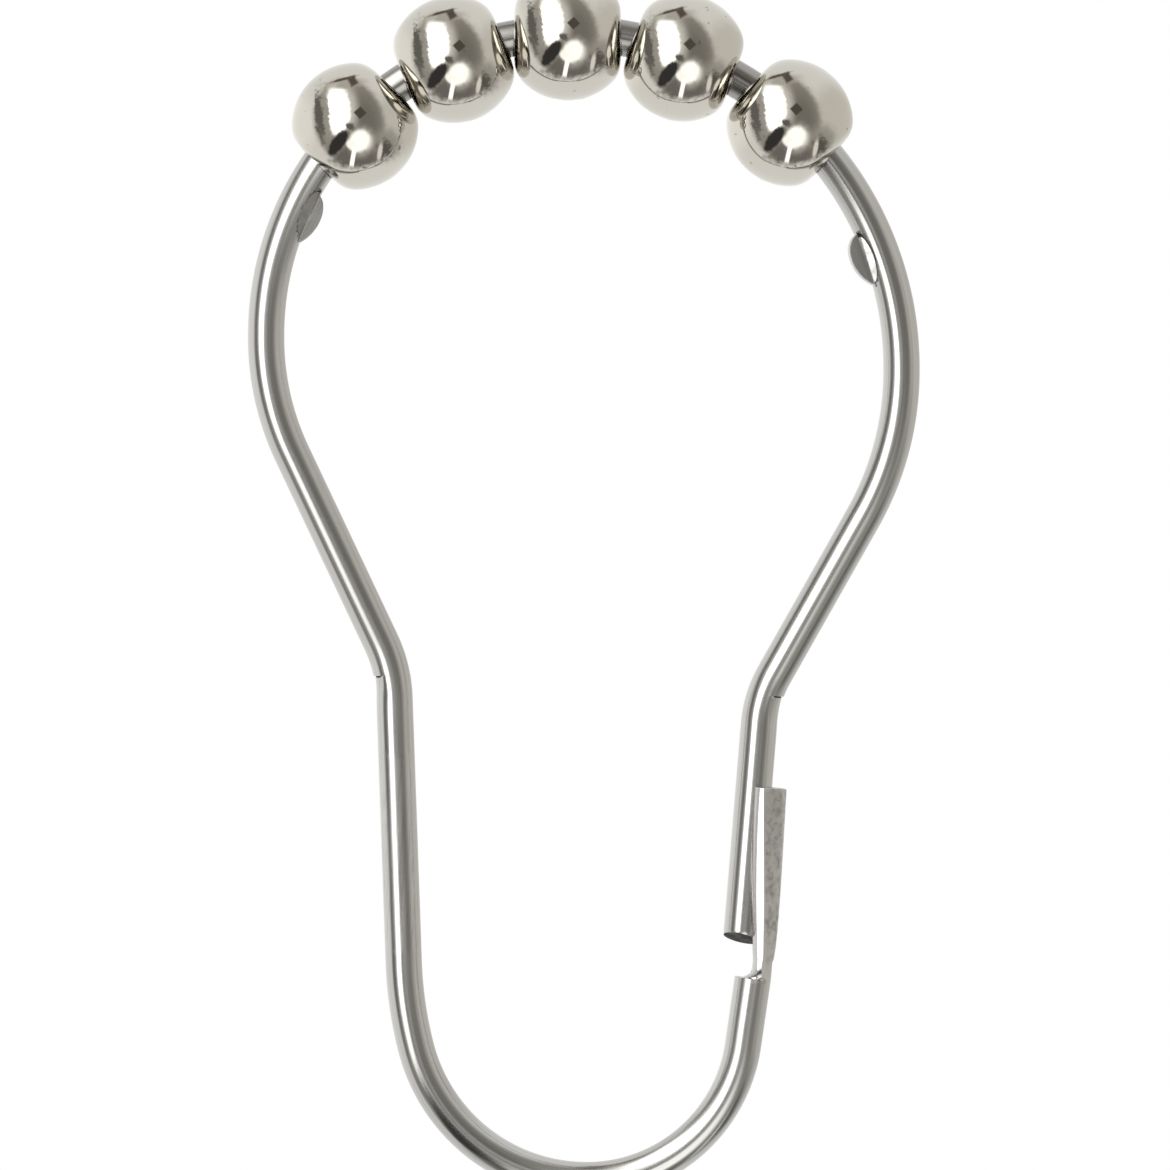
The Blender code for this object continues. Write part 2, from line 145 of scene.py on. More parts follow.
LEAD_HEIGHT = 10.97 * MM
LEAD_LEAN = radians(14.5)
LEAD_RADIUS = 25.0 * MM
CATCH_INNER = WIRE_RADIUS + 0.1 * MM
CATCH_WALL = 0.82 * MM
CATCH_OUTER = CATCH_INNER + CATCH_WALL
CATCH_OVERLAP = 9.97 * MM
FREE_END_GAP = 2.1 * MM
CATCH_LENGTH = CATCH_OVERLAP + FREE_END_GAP


# %% The corners of the line
def along(lean):
    """A way in the loop's plane, lean radians from straight up towards +X."""
    return Vector((sin(lean), 0.0, cos(lean)))


def shoulder(side, half_width, radius, lean):
    """Where a side leaves the upright, a short run under the end of the top arc."""
    drop = half_width + SIDE_RUN + radius * tan(lean / 2)
    return Vector((side * half_width, 0.0, TOP - drop))


def waist(start_point, waist_x, lean):
    """Where the flank from a shoulder reaches its waist's distance from the middle."""
    drop = abs(start_point.x - waist_x) / tan(lean)
    return Vector((waist_x, 0.0, start_point.z - drop))


left_shoulder = shoulder(-1, LEFT_HALF_WIDTH, LEFT_SHOULDER_RADIUS, LEFT_FLANK_LEAN)
right_shoulder = shoulder(1, RIGHT_HALF_WIDTH, RIGHT_SHOULDER_RADIUS, RIGHT_FLANK_LEAN)
left_waist = waist(left_shoulder, -LEFT_WAIST, LEFT_FLANK_LEAN)
right_waist = waist(right_shoulder, RIGHT_WAIST, RIGHT_FLANK_LEAN)

# The free leg's own ways: up along it, out of the loop, and to the front.
UP = along(FREE_LEG_LEAN)
OUT = Vector((UP.z, 0.0, -UP.x))
FRONT = Vector((0.0, -1.0, 0.0))
waist_cut = RIGHT_WAIST_RADIUS * tan((RIGHT_FLANK_LEAN - FREE_LEG_LEAN) / 2)
free_end = right_waist - UP * (waist_cut + LEG_ABOVE_CATCH + CATCH_OVERLAP)
neck = free_end - UP * FREE_END_GAP
riser_top = neck + OUT * (CATCH_OUTER - WIRE_RADIUS)

bottom = riser_top.z - RISER_DROP
left_cut = BOTTOM_LEFT_RADIUS * tan((pi / 2 - LEAD_LEAN) / 2)
right_cut = BOTTOM_RIGHT_RADIUS * tan((pi / 2 - RISER_LEAN) / 2)
bottom_left = Vector((BOTTOM_MIDDLE - BOTTOM_FLAT - left_cut, 0.0, bottom))
bottom_right = Vector((BOTTOM_MIDDLE + BOTTOM_FLAT + right_cut, 0.0, bottom))
lead = bottom_left + Vector((-LEAD_HEIGHT * tan(LEAD_LEAN), 0.0, LEAD_HEIGHT))

corners = [
    riser_top, bottom_right, bottom_left, lead, left_waist, left_shoulder,
    Vector((-LEFT_HALF_WIDTH, 0.0, TOP)), Vector((RIGHT_HALF_WIDTH, 0.0, TOP)),
    right_shoulder, right_waist, free_end,
]
radii = [
    BOTTOM_RIGHT_RADIUS, BOTTOM_LEFT_RADIUS, LEAD_RADIUS, LEFT_WAIST_RADIUS,
    LEFT_SHOULDER_RADIUS, LEFT_HALF_WIDTH, RIGHT_HALF_WIDTH,
    RIGHT_SHOULDER_RADIUS, RIGHT_WAIST_RADIUS,
]
print("the line turns at", len(radii), "corners")


# %% [markdown]
# ## Bending the wire
# On the real hook a straight wire is bent round pins. In Blender the same is done to its
# round section: a circle is pulled along each straight run with extrude, and swung
# round the centre of each bend with spin. A curve with a bevel would be quicker, but
# this way the rings lie as close as each stretch needs them.

# %% Straight runs and bends
WIRE_SIDES = 64
RING_STEP = 0.3 * MM


def runs_and_bends():
    """The line as (start, end) of each straight run and (centre, turn) of each bend.

    Where two bends would crowd a run, both are made a little tighter.
    """
    ways = [(b - a).normalized() for a, b in zip(corners, corners[1:])]
    spans = [(b - a).length for a, b in zip(corners, corners[1:])]
    turns = [atan2(-a.cross(b).y, a.dot(b)) for a, b in zip(ways, ways[1:])]
    cuts = [radius * tan(abs(turn) / 2) for radius, turn in zip(radii, turns)]
    ends = [0.0, *cuts, 0.0]
    fits = [1.0] * len(ends)
    for index, span in enumerate(spans):
        share = min(1.0, span / (ends[index] + ends[index + 1]))
        fits[index] = min(fits[index], share)
        fits[index + 1] = min(fits[index + 1], share)
    here = corners[0]
    steps = []
    for index, turn in enumerate(turns):
        cut = cuts[index] * fits[index + 1]
        corner = corners[index + 1]
        bend_start = corner - ways[index] * cut
        side = Vector((-ways[index].z, 0.0, ways[index].x)) * (1 if turn > 0 else -1)
        centre = bend_start + side * cut / tan(abs(turn) / 2)
        steps.append((here, bend_start, centre, turn))
        here = corner + ways[index + 1] * cut
    steps.append((here, corners[-1], None, 0.0))
    return steps


def walk(steps):
    """Points every ring step along the line, each with its length along it."""
    points = []
    length = 0.0
    for begin, end, centre, turn in steps:
        span = (end - begin).length
        count = max(1, ceil(span / RING_STEP))
        for index in range(count):
            share = index / count
            points.append((begin.lerp(end, share), length + span * share))
        length += span
        if centre is None:
            continue
        spoke = end - centre
        bend = abs(turn) * spoke.length
        count = ceil(bend / RING_STEP)
        for index in range(count):
            swing = Matrix.Rotation(-turn * index / count, 3, "Y") @ spoke
            points.append((centre + swing, length + bend * index / count))
        length += bend
    points.append((steps[-1][1], length))
    return points


line_steps = runs_and_bends()
line_points = walk(line_steps)
print("the wire is %.1f mm long" % (line_points[-1][1] / MM))


# %% Pull and swing the round section along the line
SHORTEST_RUN = RING_STEP / 100


def bent_wire():
    """The whole round wire as an open tube, from the catch's neck to the free end."""
    first_way = (corners[1] - corners[0]).normalized()
    wire = start(
        bpy.ops.mesh.primitive_circle_add, vertices=WIRE_SIDES, radius=WIRE_RADIUS,
        location=corners[0], rotation=(0.0, atan2(first_way.x, first_way.z), 0.0))
    bpy.ops.mesh.select_all(action="SELECT")
    for begin, end, centre, turn in line_steps:
        span = end - begin
        count = ceil(span.length / RING_STEP) if span.length > SHORTEST_RUN else 0
        for _ in range(count):
            bpy.ops.mesh.extrude_region_move(
                TRANSFORM_OT_translate={"value": span / count})
        if centre is None:
            continue
        count = ceil(abs(turn) * (end - centre).length / RING_STEP)
        bpy.ops.mesh.spin(steps=count, angle=turn, center=centre, axis=(0.0, 1.0, 0.0))
    bpy.ops.object.mode_set(mode="OBJECT")
    wire.name = "sprung_wire"
    return wire


wire = bent_wire()
alone(wire)
bpy.ops.object.transform_apply()
print("tube:", len(wire.data.vertices), "points")


# %% [markdown]
# ## Cutting the free end
# The wire was sheared off a little out of square, so its end face looks down, a little
# forward and a little to the left. A bisect with a filled cut does what the shears did,
# and a small bevel takes the edge off.

# %% Shear the free end
FREE_END_SLANT = radians(16)
SIDEWAYS_SLANT = radians(8)
END_BEVEL = 0.035 * MM
END_REACH = WIRE_RADIUS * 1.35


def near(place, reach):
    """A test for select_verts: is a point within this reach of a place?"""
    return lambda point: (point - place).length < reach


alone(wire)
bpy.ops.object.mode_set(mode="EDIT")
select_verts(wire, near(free_end, END_REACH))
slant = FRONT * tan(FREE_END_SLANT) - OUT * tan(SIDEWAYS_SLANT)
bpy.ops.mesh.bisect(
    plane_co=free_end + UP * WIRE_RADIUS * slant.length, plane_no=slant - UP,
    use_fill=True, clear_outer=True, threshold=CLOSE)
bpy.ops.mesh.bevel(offset=END_BEVEL, segments=3, affect="EDGES")
bpy.ops.object.mode_set(mode="OBJECT")
print("after the cut:", len(wire.data.vertices), "points")


# %% [markdown]
# ## Pressing the catch
# The lower end of the wire is pressed flat and rolled into a gutter round the free leg.
# Its section changes from a round to a C on the way up, which no primitive does, so this
# one form is a loft: rings with the wire's own number of points, each worked out from
# its height over the shoulder, and joined to the last. Round half of the C, from its back
# to the middle of the groove, come an outer face that the press left flat in front, a
# crisp crease, a flat band along the lip, the chamfered lip, and the groove.

# %% Section of the gutter
CATCH_EDGE = 0.1 * MM
SHOULDER_FILLET = 1.1 * MM
NECK_THICKNESS = 1.22 * MM
NECK_SPREAD = 0.92
SPREAD_RUN = 6.0 * MM
GROOVE_RUN_OUT = 1.1 * MM
CATCH_BOW = 0.16 * MM
FACET_DEPTH = 0.13 * MM
FACET_LOW = radians(30)
FACET_TURN = radians(25)
CREASE_TOP = 0.58 * MM
CREASE_SHIFT = 0.80 * MM
LIP_LEAN_TOP = radians(14)
LIP_LEAN_TURN = radians(8)
LIP_WIDTH = 0.36 * MM
LIP_BULGE = 0.03 * MM
LIP_NARROW = 0.7
LIP_SLOPE = 0.8
LIP_TURN_IN = 0.2
SETBACK_FALL = 1.6
# The ring's points up to each of these turns make the outer face, the band and the lip.
CREASE_TURN = 10 / 32 * pi
BAND_TURN = 13 / 32 * pi
LIP_TURN = 21 / 32 * pi


# %% The crease between the outer face and the lip's band
def ease(value):
    """An S-shaped rise from 0 to 1."""
    value = min(1.0, max(0.0, value))
    return value * value * (3 - 2 * value)


def crease_place(reach, inset):
    """Where the facet and the flat lip band meet, each set in by this much."""
    lean = FACET_LOW + FACET_TURN * reach
    lip_lean = LIP_LEAN_TOP + LIP_LEAN_TURN * (1 - reach)
    flat = CATCH_OUTER - FACET_DEPTH
    crease_out = CREASE_TOP + CREASE_SHIFT * (1 - reach)
    crease_across = (flat - crease_out * cos(lean)) / sin(lean)
    level = crease_across * cos(lip_lean) - crease_out * sin(lip_lean) - inset
    flat -= inset
    spread = cos(lean - lip_lean)
    out = (flat * cos(lip_lean) - level * sin(lean)) / spread
    across = (level * cos(lean) + flat * sin(lip_lean)) / spread
    return lean, lip_lean, flat, out, across


# %% One point of the section
def gutter_point(angle, height):
    """A point of the C-shaped section, out of the free leg's line and across it."""
    reach = (height - SHOULDER_FILLET) / (CATCH_LENGTH - SHOULDER_FILLET)
    reach = min(1.0, max(0.0, reach))
    below_top = CATCH_LENGTH - height
    inset = 0.0
    if below_top < CATCH_EDGE:
        inset = CATCH_EDGE * (1 - sqrt(1 - (1 - below_top / CATCH_EDGE) ** 2))
    lean, lip_lean, flat, crease_out, crease_across = crease_place(reach, inset)
    setback = (CATCH_OUTER - NECK_THICKNESS) * (1 - reach) ** SETBACK_FALL + inset
    lip_out = setback + LIP_WIDTH * (LIP_NARROW + (1 - LIP_NARROW) * reach)
    inner = CATCH_INNER + inset
    band_low = crease_across - (crease_out - lip_out) * tan(lip_lean)
    inner_low = sqrt(inner ** 2 - lip_out ** 2)
    bow = CATCH_BOW * sin(pi * sqrt(reach))
    turn = abs(angle)
    if turn <= CREASE_TURN:
        spoke = turn / CREASE_TURN * atan2(crease_across, crease_out)
        radial = min(CATCH_OUTER - inset, flat / cos(spoke - lean))
        out = (radial + bow) * cos(spoke)
        across = radial * sin(spoke)
    elif turn <= BAND_TURN:
        share = (turn - CREASE_TURN) / (BAND_TURN - CREASE_TURN)
        out = crease_out + (lip_out - crease_out) * share
        across = crease_across + (band_low - crease_across) * share
        out += bow * cos(atan2(across, out)) * (1 - share)
    elif turn < LIP_TURN:
        share = (turn - BAND_TURN) / (LIP_TURN - BAND_TURN)
        slope = min(1.0, share / LIP_SLOPE)
        bulge = LIP_BULGE * sin(pi * slope)
        turn_in = LIP_TURN_IN * ease((share - LIP_SLOPE) / (1 - LIP_SLOPE))
        out = lip_out + (setback - lip_out) * (slope - turn_in) - bulge
        across = band_low + (inner_low - band_low) * share + bulge
    else:
        wrap = atan2(inner_low, lip_out)
        spoke = (pi - turn) / (pi - LIP_TURN) * wrap
        groove = ease((height - SHOULDER_FILLET) / GROOVE_RUN_OUT)
        out = inner * (cos(wrap) + (cos(spoke) - cos(wrap)) * groove)
        across = inner * sin(spoke)
    spread = NECK_SPREAD + (1 - NECK_SPREAD) * ease(height / SPREAD_RUN)
    return out, across * spread * (1 if angle > 0 else -1)


# %% Heights of the sections
CATCH_STEPS = 60
FILLET_STEPS = 12
EDGE_STEPS = 3


def catch_stations():
    """Each section's height over the shoulder, and its share of gutter against round."""
    stations = []
    for step in range(1, FILLET_STEPS + 1):
        sweep = step / FILLET_STEPS * pi / 2
        stations.append((SHOULDER_FILLET * (1 - cos(sweep)), sin(sweep)))
    run = CATCH_LENGTH - CATCH_EDGE - SHOULDER_FILLET
    for step in range(1, CATCH_STEPS + 1):
        stations.append((SHOULDER_FILLET + run * step / CATCH_STEPS, 1.0))
    for step in range(1, EDGE_STEPS + 1):
        rise = sin(step / EDGE_STEPS * pi / 2)
        stations.append((CATCH_LENGTH - CATCH_EDGE * (1 - rise), 1.0))
    return stations


# %% Loft the catch on from the wire's lower end
def add_catch(piece):
    """Join ring after ring to the open lower end, and close the top."""
    tube = bmesh.new()
    tube.from_mesh(piece.data)
    across = -FRONT
    rim = [vert for vert in tube.verts if vert.is_boundary]
    spokes = {vert: vert.co - riser_top for vert in rim}
    turn_of = {
        vert: atan2(spoke.dot(across), spoke.dot(OUT)) for vert, spoke in spokes.items()}
    ring = sorted(rim, key=turn_of.get)
    angles = [turn_of[vert] for vert in ring]
    offset = CATCH_OUTER - WIRE_RADIUS
    for height, share in catch_stations():
        upper = []
        for angle in angles:
            out, aside = gutter_point(angle, height)
            round_out = offset + WIRE_RADIUS * cos(angle)
            round_aside = WIRE_RADIUS * sin(angle)
            x = round_out + (out - round_out) * share
            y = round_aside + (aside - round_aside) * share
            upper.append(tube.verts.new(neck + OUT * x + across * y + UP * height))
        for index, vert in enumerate(ring):
            after = (index + 1) % len(ring)
            tube.faces.new((vert, ring[after], upper[after], upper[index]))
        ring = upper
    tube.faces.new(ring)
    bmesh.ops.recalc_face_normals(tube, faces=tube.faces)
    tube.to_mesh(piece.data)
    tube.free()


add_catch(wire)
print("with the catch:", len(wire.data.vertices), "points")


# %% [markdown]
# ## Pinching the stop ears
# Under the last ball on each side a punch struck the wire from the front. It left a
# half-oval recess, and the metal that it pushed aside flowed inwards into a flat fin,
# which stops the balls. The fin is an oval plate, sheared so that it is highest near the
# balls. It is joined on first, because it would fill the recess again. The punch is a
# second plate, tilted, widened to the front for sloping walls, and bisected at the
# crease where the fin begins.

# %% Sizes of the ears
# Angle and twist place the fin, and proud is its height over the wire. The rest places
# the punch and says how wide, how tilted and how sloping its walls are.
EARS = [
    {"side": -1, "angle": radians(66.5), "proud": 0.68 * MM, "twist": radians(3),
     "recess": radians(64.9), "crease": 1.14 * MM, "width": 0.74 * MM, "tilt": radians(6),
     "lean": radians(26), "wall": 0.25},
    {"side": 1, "angle": radians(70.6), "proud": 0.84 * MM, "twist": radians(7),
     "recess": radians(70.2), "crease": 1.00 * MM, "width": 0.50 * MM, "tilt": radians(5),
     "lean": radians(19), "wall": 0.50},
]
EAR_LENGTH = 3.7 * MM
EAR_THICKNESS = 0.88 * MM
EAR_EDGE = 0.05 * MM
EAR_FACE = 0.45 * MM
EAR_SKEW = 0.30
RECESS_LENGTH = 3.1 * MM
RECESS_DEPTH = 0.06 * MM
RECESS_EDGE = 0.05 * MM
PUNCH_DEPTH = 2.3 * MM
PLATE_POINTS = 96


def ear_frame(side, angle):
    """Origin on the wire's centreline, X along it, Y backwards and Z inwards."""
    radius = LEFT_HALF_WIDTH if side < 0 else RIGHT_HALF_WIDTH
    spoke = along(side * angle)
    place = Vector((0.0, 0.0, TOP - radius)) + spoke * radius
    inward = -spoke
    turn = Matrix(((-FRONT).cross(inward), -FRONT, inward)).transposed()
    return Matrix.Translation(place) @ turn.to_4x4()


# %% The tool for both: an oval plate
def plate(half_length, half_height, thickness, skew, edge):
    """An oval plate, thick along Y, its highest point pushed along X, with soft edges."""
    piece = start(
        bpy.ops.mesh.primitive_cylinder_add, vertices=PLATE_POINTS, radius=1.0, depth=1.0,
        rotation=(pi / 2, 0.0, 0.0))
    bpy.ops.object.mode_set(mode="OBJECT")
    bpy.ops.object.transform_apply(rotation=True)
    size = Matrix.Diagonal((half_length, thickness, half_height, 1.0))
    shear = Matrix.Identity(4)
    shear[0][2] = skew
    piece.data.transform(shear @ size)
    apply_modifier(piece, "BEVEL", width=edge, segments=3, limit_method="ANGLE")
    return piece


def combine(piece, tool, operation):
    """Join a tool to a piece or cut it out, and throw the tool away."""
    apply_modifier(piece, "BOOLEAN", operation=operation, object=tool, solver="EXACT")
    bpy.data.objects.remove(tool, do_unlink=True)


# %% Pinch a fin, and punch the recess beside it
def recess_frame(side, recess, crease, tilt, lean, **_):
    """The punch's frame: on the crease, Z inwards across it, Y down into the floor."""
    sink = Matrix.Translation((0.0, RECESS_DEPTH - EAR_FACE, crease))
    turn = Matrix.Rotation(-lean, 4, "X") @ Matrix.Rotation(side * tilt, 4, "Z")
    return ear_frame(side, recess) @ sink @ turn


def open_out(piece, wall):
    """Widen a plate's front, so that its walls slope, and cut it off at the crease."""
    for vert in piece.data.vertices:
        widen = wall * (PUNCH_DEPTH / 2 - vert.co.y)
        reach = hypot(vert.co.x, vert.co.z)
        vert.co.x *= 1 + widen / reach
        vert.co.z *= 1 + widen / reach
    bpy.ops.object.mode_set(mode="EDIT")
    bpy.ops.mesh.select_all(action="SELECT")
    bpy.ops.mesh.bisect(
        plane_co=(0, 0, 0), plane_no=(0, 0, 1), use_fill=True, clear_outer=True,
        threshold=CLOSE)
    bpy.ops.object.mode_set(mode="OBJECT")


def add_ear(piece, ear):
    """Join one fin to the wire, and punch the recess beside it."""
    fin = plate(
        EAR_LENGTH / 2, WIRE_RADIUS / 2 + ear["proud"], EAR_THICKNESS,
        EAR_SKEW * ear["side"], EAR_EDGE)
    seat = ear_frame(ear["side"], ear["angle"]) @ Matrix.Translation(
        (0.0, EAR_THICKNESS / 2 - EAR_FACE, WIRE_RADIUS / 2))
    twist = Matrix.Translation(seat.translation) @ Matrix.Rotation(ear["twist"], 4, "Z")
    fin.data.transform(twist @ Matrix.Translation(-seat.translation) @ seat)
    combine(piece, fin, "UNION")
    punch = plate(RECESS_LENGTH / 2, ear["width"], PUNCH_DEPTH, 0.0, RECESS_EDGE)
    open_out(punch, ear["wall"])
    lift = Matrix.Translation((0.0, -PUNCH_DEPTH / 2, 0.0))
    punch.data.transform(recess_frame(**ear) @ lift)
    combine(piece, punch, "DIFFERENCE")


for ear in EARS:
    add_ear(wire, ear)
print("with the ears:", len(wire.data.vertices), "points")


# %% [markdown]
# ## Marks of the bending tool
# In the hollow of each waist bend the tool pressed a small step into the wire, with a
# fine groove along its edge: the wire is a little thinner below the mark. Three cuts with
# bisect, a hair apart, give the step and the groove their edges, and the points below
# the first are pressed in.

# %% Press a step into each of the two waists
MARK_WIDTH = 0.05 * MM
MARK_DEPTH = 0.11 * MM
MARK_RUN = 2.6 * MM
MARK_START = MARK_WIDTH * 0.9
MARK_REACH = WIRE_RADIUS * 1.7
# How steeply the press eases in round the wire, and where it begins.
HOLLOW_GAIN = 1.8
HOLLOW_START = 0.4
GROOVE_WIDTH = 0.07 * MM
GROOVE_DEPTH = 0.06 * MM
GROOVE_REACH = 0.55 * MM
LEFT_MARK_SHIFT = -0.41 * MM
RIGHT_MARK_SHIFT = 0.23 * MM
marks = []


def press_mark(piece, corner, radius, shift):
    """Press a step that is sharp above and runs out below, in the hollow of a bend."""
    index = corners.index(corner)
    before, after = corners[index - 1], corners[index + 1]
    back, ahead = (before - corner).normalized(), (after - corner).normalized()
    hollow = (back + ahead).normalized()
    half_turn = asin(back.cross(hollow).length)
    sag = radius / sin(half_turn) - radius
    leg = -back if before.z < after.z else -ahead
    mark = corner + hollow * sag + leg * shift
    alone(piece)
    bpy.ops.object.mode_set(mode="EDIT")
    for drop in (0.0, MARK_WIDTH, MARK_WIDTH + GROOVE_WIDTH):
        select_verts(piece, near(mark, MARK_REACH))
        bpy.ops.mesh.bisect(plane_co=mark - leg * drop, plane_no=leg, threshold=CLOSE)
    bpy.ops.object.mode_set(mode="OBJECT")
    moved = 0
    for vert in piece.data.vertices:
        offset = vert.co - mark
        below = -offset.dot(leg) - MARK_START
        if not 0 <= below < MARK_RUN or offset.length > MARK_RUN + WIRE_RADIUS:
            continue
        facing = offset.dot(hollow) + below ** 2 / (2 * radius)
        depth = MARK_DEPTH * (1 - below / MARK_RUN) ** 2
        if below < GROOVE_WIDTH / 2:
            depth += GROOVE_DEPTH
        depth *= ease(facing / WIRE_RADIUS * HOLLOW_GAIN - HOLLOW_START)
        vert.co -= hollow * depth
        moved += depth > 0
    marks.append((mark, leg, hollow))
    return moved


for corner, radius, shift in (
        (left_waist, LEFT_WAIST_RADIUS, LEFT_MARK_SHIFT),
        (right_waist, RIGHT_WAIST_RADIUS, RIGHT_MARK_SHIFT)):
    print("pressed", press_mark(wire, corner, radius, shift), "points into a waist")


# %% [markdown]
# ## A pattern that follows the wire
# Drawing lines run along the wire round all of its bends. For that each point gets its
# place on the straight wire, before bending, as an attribute: how far along it is, and
# where in the round section. A second attribute says how hard the press worked a point,
# which left it rougher. A third, on the faces, says where shade is painted into the
# colour: on the sheared end, on the recesses' walls and along the tool marks.

# %% Points of the catch
CATCH_MARGIN = 0.1 * MM
OFF_THE_WIRE = WIRE_RADIUS * 1.04


def place_on_leg(point):
    """A point's height over the neck, and its place across the free leg's line."""
    offset = point - neck
    return offset.dot(UP), offset.dot(OUT), offset.dot(-FRONT)


def in_catch(point):
    """Whether a point is the catch's, and not the free leg's inside it."""
    height, out, across = place_on_leg(point)
    is_beside = hypot(out, across) > OFF_THE_WIRE
    return is_beside and -CATCH_MARGIN < height < CATCH_LENGTH + CATCH_MARGIN


# %% Where the press worked the wire
# In the catch it is the part beyond a line that leans inwards on the way up.
DULL_LINE = 0.70 * MM
DULL_LINE_LEAN = 0.90 * MM
DULL_LINE_BLUR = 0.08 * MM
DULL_FADE_IN = 5
# In a recess it is the floor.
FLOOR_SHARE = 0.7
FLOOR_REACH = RECESS_LENGTH * 0.6
FLOOR_RANGE = (-1.0 * MM, 0.01 * MM)
FLOOR_MARGIN = 0.06 * MM

recess_places = [recess_frame(**ear) for ear in EARS]


def pressed(point):
    """How hard the press worked a point of the catch or the ears, from 0 to 1."""
    height, out, _ = place_on_leg(point)
    if in_catch(point):
        reach = height / CATCH_LENGTH
        dull_line = DULL_LINE + (1 - reach) * DULL_LINE_LEAN
        return ease((out - dull_line) / DULL_LINE_BLUR) * ease(reach * DULL_FADE_IN)
    for place in recess_places:
        spot = place.inverted() @ point
        on_floor = abs(spot.x) < FLOOR_REACH and abs(spot.y) < FLOOR_MARGIN
        if on_floor and FLOOR_RANGE[0] < spot.z < FLOOR_RANGE[1]:
            return FLOOR_SHARE
    return 0.0


# %% Where shade is painted into the colour
END_SHADE = 1.0
MARK_SHADE = 0.75
WALL_SHADE = 0.6
SHEARED_REACH = WIRE_RADIUS * 1.5
SHEARED_FACING = 0.9
MARK_BOUND = WIRE_RADIUS * 2
WALL_RANGE = (0.93, 1.04)
WALL_MARGIN = 0.01 * MM


def painted_shade(face):
    """How much painted shade a face gets: the sheared end, recess walls and tool marks."""
    is_end = (face.center - free_end).length < SHEARED_REACH
    if is_end and face.normal.dot((slant - UP).normalized()) > SHEARED_FACING:
        return END_SHADE
    for mark, leg, hollow in marks:
        offset = face.center - mark
        below = -offset.dot(leg)
        deep = WIRE_RADIUS - offset.dot(hollow)
        if 0 < below < MARK_WIDTH + GROOVE_WIDTH and 0 < deep < GROOVE_REACH:
            return MARK_SHADE if offset.length < MARK_BOUND else 0.0
    for ear, place in zip(EARS, recess_places):
        spot = place.inverted() @ face.center
        widen = -spot.y * ear["wall"]
        rim = hypot(spot.x / (RECESS_LENGTH / 2 + widen), spot.z / (ear["width"] + widen))
        on_wall = WALL_RANGE[0] < rim < WALL_RANGE[1] and spot.z < 0
        if on_wall and -WIRE_RADIUS < spot.y < WALL_MARGIN:
            return WALL_SHADE
    return 0.0


# %% Store the three attributes
SMOOTH_WIRE = radians(18)


def add_pattern(piece):
    """Give each point its place and its press, and each face its painted shade."""
    tree = kdtree.KDTree(len(line_points))
    for index, (point, _) in enumerate(line_points):
        tree.insert(point, index)
    tree.balance()
    straight, worked = [], []
    for vert in piece.data.vertices:
        if in_catch(vert.co):
            height, out, across = place_on_leg(vert.co)
            straight += [-height, out, across]
        else:
            index = tree.find(vert.co)[1]
            index = min(max(index, 1), len(line_points) - 2)
            here, length = line_points[index]
            way = (line_points[index + 1][0] - line_points[index - 1][0]).normalized()
            offset = vert.co - here
            out = offset.dot(way.cross(FRONT))
            straight += [length + offset.dot(way), out, offset.y]
        worked.append(pressed(vert.co))
    dark = [painted_shade(face) for face in piece.data.polygons]
    for name, kind, domain, key, values in (
            ("straight_wire", "FLOAT_VECTOR", "POINT", "vector", straight),
            ("pressed", "FLOAT", "POINT", "value", worked),
            ("painted_shade", "FLOAT", "FACE", "value", dark)):
        piece.data.attributes.new(name, kind, domain).data.foreach_set(key, values)
    print("pressed points:", sum(value > 0.5 for value in worked),
          "soiled faces:", sum(value > 0 for value in dark))


add_pattern(wire)
alone(wire)
bpy.ops.object.shade_smooth_by_angle(angle=SMOOTH_WIRE)
apply_modifier(wire, "WEIGHTED_NORMAL", keep_sharp=True)
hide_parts("hook_wire")
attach(wire, "hook")


# %% [markdown]
# ## Turning the balls
# A ball is pressed from thin sheet: a hollow sphere that is drawn in by a tight round to
# each of its two holes. The outline starts as a circle that is bisected where the round
# begins. A spin of its last point draws each end in to the hole, and the whole line is
# spun once round the bore. Solidify gives the sheet its thickness, inwards, and a bevel
# takes the edge off the holes.

# %% Sizes of a ball
BALL_RADIUS = 3.99 * MM
BALL_WALL = 0.3 * MM
HOLE_RADIUS = 1.53 * MM
RIM_RADIUS = 1.84 * MM
RIM_UP = sqrt((BALL_RADIUS - RIM_RADIUS) ** 2 - HOLE_RADIUS ** 2)
RIM_LEAN = atan2(HOLE_RADIUS, RIM_UP)
HOLE_EDGE = 0.04 * MM
OUTLINE_POINTS = 256
OUTLINE_END = 0.002 * MM
BALL_TURN_STEPS = 160
RIM_STEPS = 16
SMOOTH_BALL = radians(50)


